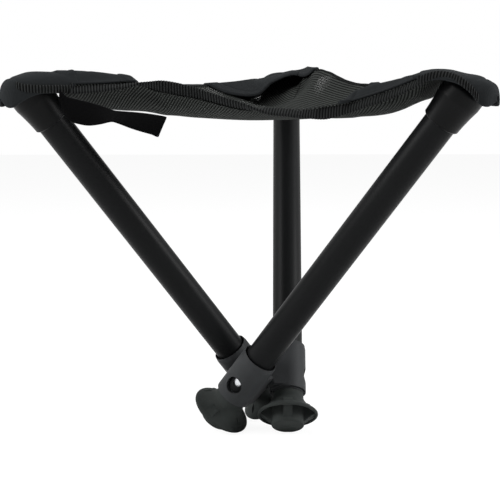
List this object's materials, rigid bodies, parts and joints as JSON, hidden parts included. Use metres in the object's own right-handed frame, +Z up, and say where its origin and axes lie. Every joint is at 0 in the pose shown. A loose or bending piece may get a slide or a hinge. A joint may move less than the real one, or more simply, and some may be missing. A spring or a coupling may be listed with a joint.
{
  "type": "collapsible telescopic stool",
  "caption": "Folding camp stool with telescopic tube legs crossing at a pivot hub, flared rubber feet and a sagging mesh sling seat.",
  "frame": {"origin": "on the floor, below the centre of the hub", "axes": "+Z up; +Y from the picture's viewer towards the rear leg's top; +X to the viewer's right"},
  "size_m": [0.3759, 0.3469, 0.2979],
  "materials": {
    "moulded_plastic": "fine grained black nylon moulding",
    "tube_coating": "satin black powder coat",
    "cap_plastic": "smooth black plastic with a soft sheen",
    "bare_aluminium": "drawn and anodised, satin",
    "bright_steel": "turned, plated",
    "spring_steel": "rolled strip",
    "slide_plastic": "natural acetal, smooth",
    "foot_rubber": "moulded rubber, dull",
    "mesh_cloth": "open warp-knit mesh",
    "corner_cloth": "close plain-woven cloth",
    "binding_tape": "ribbed edge tape",
    "strap_webbing": "webbing with a hook and loop face"
  },
  "bodies": {
    "hub": {"hub": "moulded_plastic", "pivot_screws": "bright_steel", "pivot_washers": "slide_plastic"},
    "leg_right": {"collar_right": "moulded_plastic", "upper_tube_right": "tube_coating", "top_cap_right": "cap_plastic", "seat_pocket_right": "corner_cloth"},
    "middle_stage_right": {"middle_tube_right": "bare_aluminium", "middle_bush_right": "slide_plastic", "middle_ferrule_right": "moulded_plastic", "middle_spring_right": "spring_steel"},
    "lower_stage_right": {"lower_tube_right": "bare_aluminium", "lower_bush_right": "slide_plastic", "foot_right": "foot_rubber", "lower_spring_right": "spring_steel"},
    "middle_lock_right": {"middle_button_right": "bright_steel"},
    "lower_lock_right": {"lower_button_right": "bright_steel"},
    "seat_third_right": {"seat_mesh_right": "mesh_cloth", "corner_patch_right": "corner_cloth", "edge_binding_right": "binding_tape"},
    "leg_rear": {"collar_rear": "moulded_plastic", "upper_tube_rear": "tube_coating", "top_cap_rear": "cap_plastic", "seat_pocket_rear": "corner_cloth"},
    "middle_stage_rear": {"middle_tube_rear": "bare_aluminium", "middle_bush_rear": "slide_plastic", "middle_ferrule_rear": "moulded_plastic", "middle_spring_rear": "spring_steel"},
    "lower_stage_rear": {"lower_tube_rear": "bare_aluminium", "lower_bush_rear": "slide_plastic", "foot_rear": "foot_rubber", "lower_spring_rear": "spring_steel"},
    "middle_lock_rear": {"middle_button_rear": "bright_steel"},
    "lower_lock_rear": {"lower_button_rear": "bright_steel"},
    "seat_third_rear": {"seat_mesh_rear": "mesh_cloth", "corner_patch_rear": "corner_cloth", "edge_binding_rear": "binding_tape"},
    "leg_left": {"collar_left": "moulded_plastic", "upper_tube_left": "tube_coating", "top_cap_left": "cap_plastic", "seat_pocket_left": "corner_cloth", "closing_strap": "strap_webbing"},
    "middle_stage_left": {"middle_tube_left": "bare_aluminium", "middle_bush_left": "slide_plastic", "middle_ferrule_left": "moulded_plastic", "middle_spring_left": "spring_steel"},
    "lower_stage_left": {"lower_tube_left": "bare_aluminium", "lower_bush_left": "slide_plastic", "foot_left": "foot_rubber", "lower_spring_left": "spring_steel"},
    "middle_lock_left": {"middle_button_left": "bright_steel"},
    "lower_lock_left": {"lower_button_left": "bright_steel"},
    "seat_third_left": {"seat_mesh_left": "mesh_cloth", "corner_patch_left": "corner_cloth", "edge_binding_left": "binding_tape"}
  },
  "joints": [
    {"name": "fold_right", "type": "hinge", "parent": "hub", "child": "leg_right", "pos_m": [0, 0, 0.0445], "axis": [-0.5, -0.866, 0], "range_deg": [0, 38.35], "deforming": ["foot_right", "seat_pocket_right"]},
    {"name": "middle_slide_right", "type": "slide", "parent": "leg_right", "child": "middle_stage_right", "axis": [-0.5373, 0.3102, -0.7842], "range_m": [0, 0.168]},
    {"name": "lower_slide_right", "type": "slide", "parent": "middle_stage_right", "child": "lower_stage_right", "axis": [-0.5373, 0.3102, -0.7842], "range_m": [0, 0.122]},
    {"name": "middle_lock_press_right", "type": "slide", "parent": "middle_stage_right", "child": "middle_lock_right", "axis": [0.5, 0.866, 0], "range_m": [0, 0.0012], "stiffness_N_per_m": 300, "springref_m": -0.002, "deforming": ["middle_spring_right"]},
    {"name": "lower_lock_press_right", "type": "slide", "parent": "lower_stage_right", "child": "lower_lock_right", "axis": [0.5, 0.866, 0], "range_m": [0, 0.0012], "stiffness_N_per_m": 300, "springref_m": -0.002, "deforming": ["lower_spring_right"]},
    {"name": "seat_hang_right", "type": "hinge", "parent": "leg_right", "child": "seat_third_right", "pos_m": [0.12931, -0.10203, 0.2915], "axis": [-0.5, -0.866, 0], "range_deg": [0, 31.6], "deforming": ["seat_mesh_right", "corner_patch_right", "edge_binding_right"]},
    {"name": "fold_rear", "type": "hinge", "parent": "hub", "child": "leg_rear", "pos_m": [0, 0, 0.0445], "axis": [1, 0, 0], "range_deg": [0, 38.35], "deforming": ["foot_rear", "seat_pocket_rear"]},
    {"name": "middle_slide_rear", "type": "slide", "parent": "leg_rear", "child": "middle_stage_rear", "axis": [0, -0.6205, -0.7842], "range_m": [0, 0.168]},
    {"name": "lower_slide_rear", "type": "slide", "parent": "middle_stage_rear", "child": "lower_stage_rear", "axis": [0, -0.6205, -0.7842], "range_m": [0, 0.122]},
    {"name": "middle_lock_press_rear", "type": "slide", "parent": "middle_stage_rear", "child": "middle_lock_rear", "axis": [-1, 0, 0], "range_m": [0, 0.0012], "stiffness_N_per_m": 300, "springref_m": -0.002, "deforming": ["middle_spring_rear"]},
    {"name": "lower_lock_press_rear", "type": "slide", "parent": "lower_stage_rear", "child": "lower_lock_rear", "axis": [-1, 0, 0], "range_m": [0, 0.0012], "stiffness_N_per_m": 300, "springref_m": -0.002, "deforming": ["lower_spring_rear"]},
    {"name": "seat_hang_rear", "type": "hinge", "parent": "leg_rear", "child": "seat_third_rear", "pos_m": [0.0237, 0.163, 0.2915], "axis": [1, 0, 0], "range_deg": [0, 31.6], "deforming": ["seat_mesh_rear", "corner_patch_rear", "edge_binding_rear"]},
    {"name": "fold_left", "type": "hinge", "parent": "hub", "child": "leg_left", "pos_m": [0, 0, 0.0445], "axis": [-0.5, 0.866, 0], "range_deg": [0, 38.35], "deforming": ["foot_left", "seat_pocket_left", "closing_strap"]},
    {"name": "middle_slide_left", "type": "slide", "parent": "leg_left", "child": "middle_stage_left", "axis": [0.5373, 0.3102, -0.7842], "range_m": [0, 0.168]},
    {"name": "lower_slide_left", "type": "slide", "parent": "middle_stage_left", "child": "lower_stage_left", "axis": [0.5373, 0.3102, -0.7842], "range_m": [0, 0.122]},
    {"name": "middle_lock_press_left", "type": "slide", "parent": "middle_stage_left", "child": "middle_lock_left", "axis": [0.5, -0.866, 0], "range_m": [0, 0.0012], "stiffness_N_per_m": 300, "springref_m": -0.002, "deforming": ["middle_spring_left"]},
    {"name": "lower_lock_press_left", "type": "slide", "parent": "lower_stage_left", "child": "lower_lock_left", "axis": [0.5, -0.866, 0], "range_m": [0, 0.0012], "stiffness_N_per_m": 300, "springref_m": -0.002, "deforming": ["lower_spring_left"]},
    {"name": "seat_hang_left", "type": "hinge", "parent": "leg_left", "child": "seat_third_left", "pos_m": [-0.15301, -0.06098, 0.2915], "axis": [-0.5, 0.866, 0], "range_deg": [0, 31.6], "deforming": ["seat_mesh_left", "corner_patch_left", "edge_binding_left"]}
  ],
  "couplings": [
    {"joint": "seat_hang_right", "follows": "fold_right", "ratio": 0.82399},
    {"joint": "fold_rear", "follows": "fold_right", "ratio": 1},
    {"joint": "seat_hang_rear", "follows": "fold_right", "ratio": 0.82399},
    {"joint": "fold_left", "follows": "fold_right", "ratio": 1},
    {"joint": "seat_hang_left", "follows": "fold_right", "ratio": 0.82399}
  ]
}
